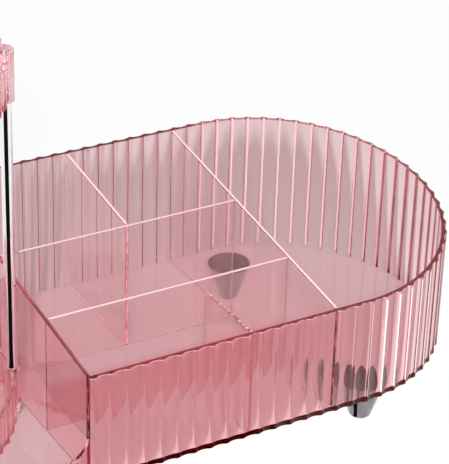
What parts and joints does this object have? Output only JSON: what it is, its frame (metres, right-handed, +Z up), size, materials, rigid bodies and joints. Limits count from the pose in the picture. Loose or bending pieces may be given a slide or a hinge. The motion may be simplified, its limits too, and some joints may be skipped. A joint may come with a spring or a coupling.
{
  "type": "rotating makeup organizer",
  "caption": "Long fluted clear tray with round ends, divided compartments and tapered feet; a chrome pole in its low bay carries a round tray that turns.",
  "frame": {"origin": "on the ground, under the middle of the base tray", "axes": "+X along the tray towards the large round-ended compartment, +Y towards the tall back wall, +Z up"},
  "size_m": [0.412, 0.18, 0.2235],
  "materials": {
    "clear_rose_plastic": "clear rose tint, high gloss",
    "pole_chrome": "bright chrome plate",
    "foot_chrome": "dark chrome plate",
    "disc_black": "black bonding disc",
    "pad_rubber": "matt rubber",
    "white_nylon": "moulded nylon",
    "screw_steel": "plated steel"
  },
  "bodies": {
    "base": {"base_tray": "clear_rose_plastic", "bay_wall": "clear_rose_plastic", "end_divider": "clear_rose_plastic", "brush_divider": "clear_rose_plastic", "lipstick_divider": "clear_rose_plastic", "rear_cross_divider": "clear_rose_plastic", "front_cross_divider": "clear_rose_plastic", "lower_tray": "clear_rose_plastic", "pole": "pole_chrome", "pivot_cap": "white_nylon", "pole_washer": "screw_steel", "pole_screw": "screw_steel", "foot_front_right": "foot_chrome", "foot_disc_front_right": "disc_black", "foot_pad_front_right": "pad_rubber", "foot_rear_right": "foot_chrome", "foot_disc_rear_right": "disc_black", "foot_pad_rear_right": "pad_rubber", "foot_front_left": "foot_chrome", "foot_disc_front_left": "disc_black", "foot_pad_front_left": "pad_rubber", "foot_rear_left": "foot_chrome", "foot_disc_rear_left": "disc_black", "foot_pad_rear_left": "pad_rubber"},
    "turning_tray": {"upper_tray": "clear_rose_plastic"}
  },
  "joints": [
    {"name": "upper_tray_turn", "type": "hinge", "parent": "base", "child": "turning_tray", "pos_m": [-0.04748, -0.01177, 0.1965], "axis": [0, 0, 1], "continuous": true}
  ]
}
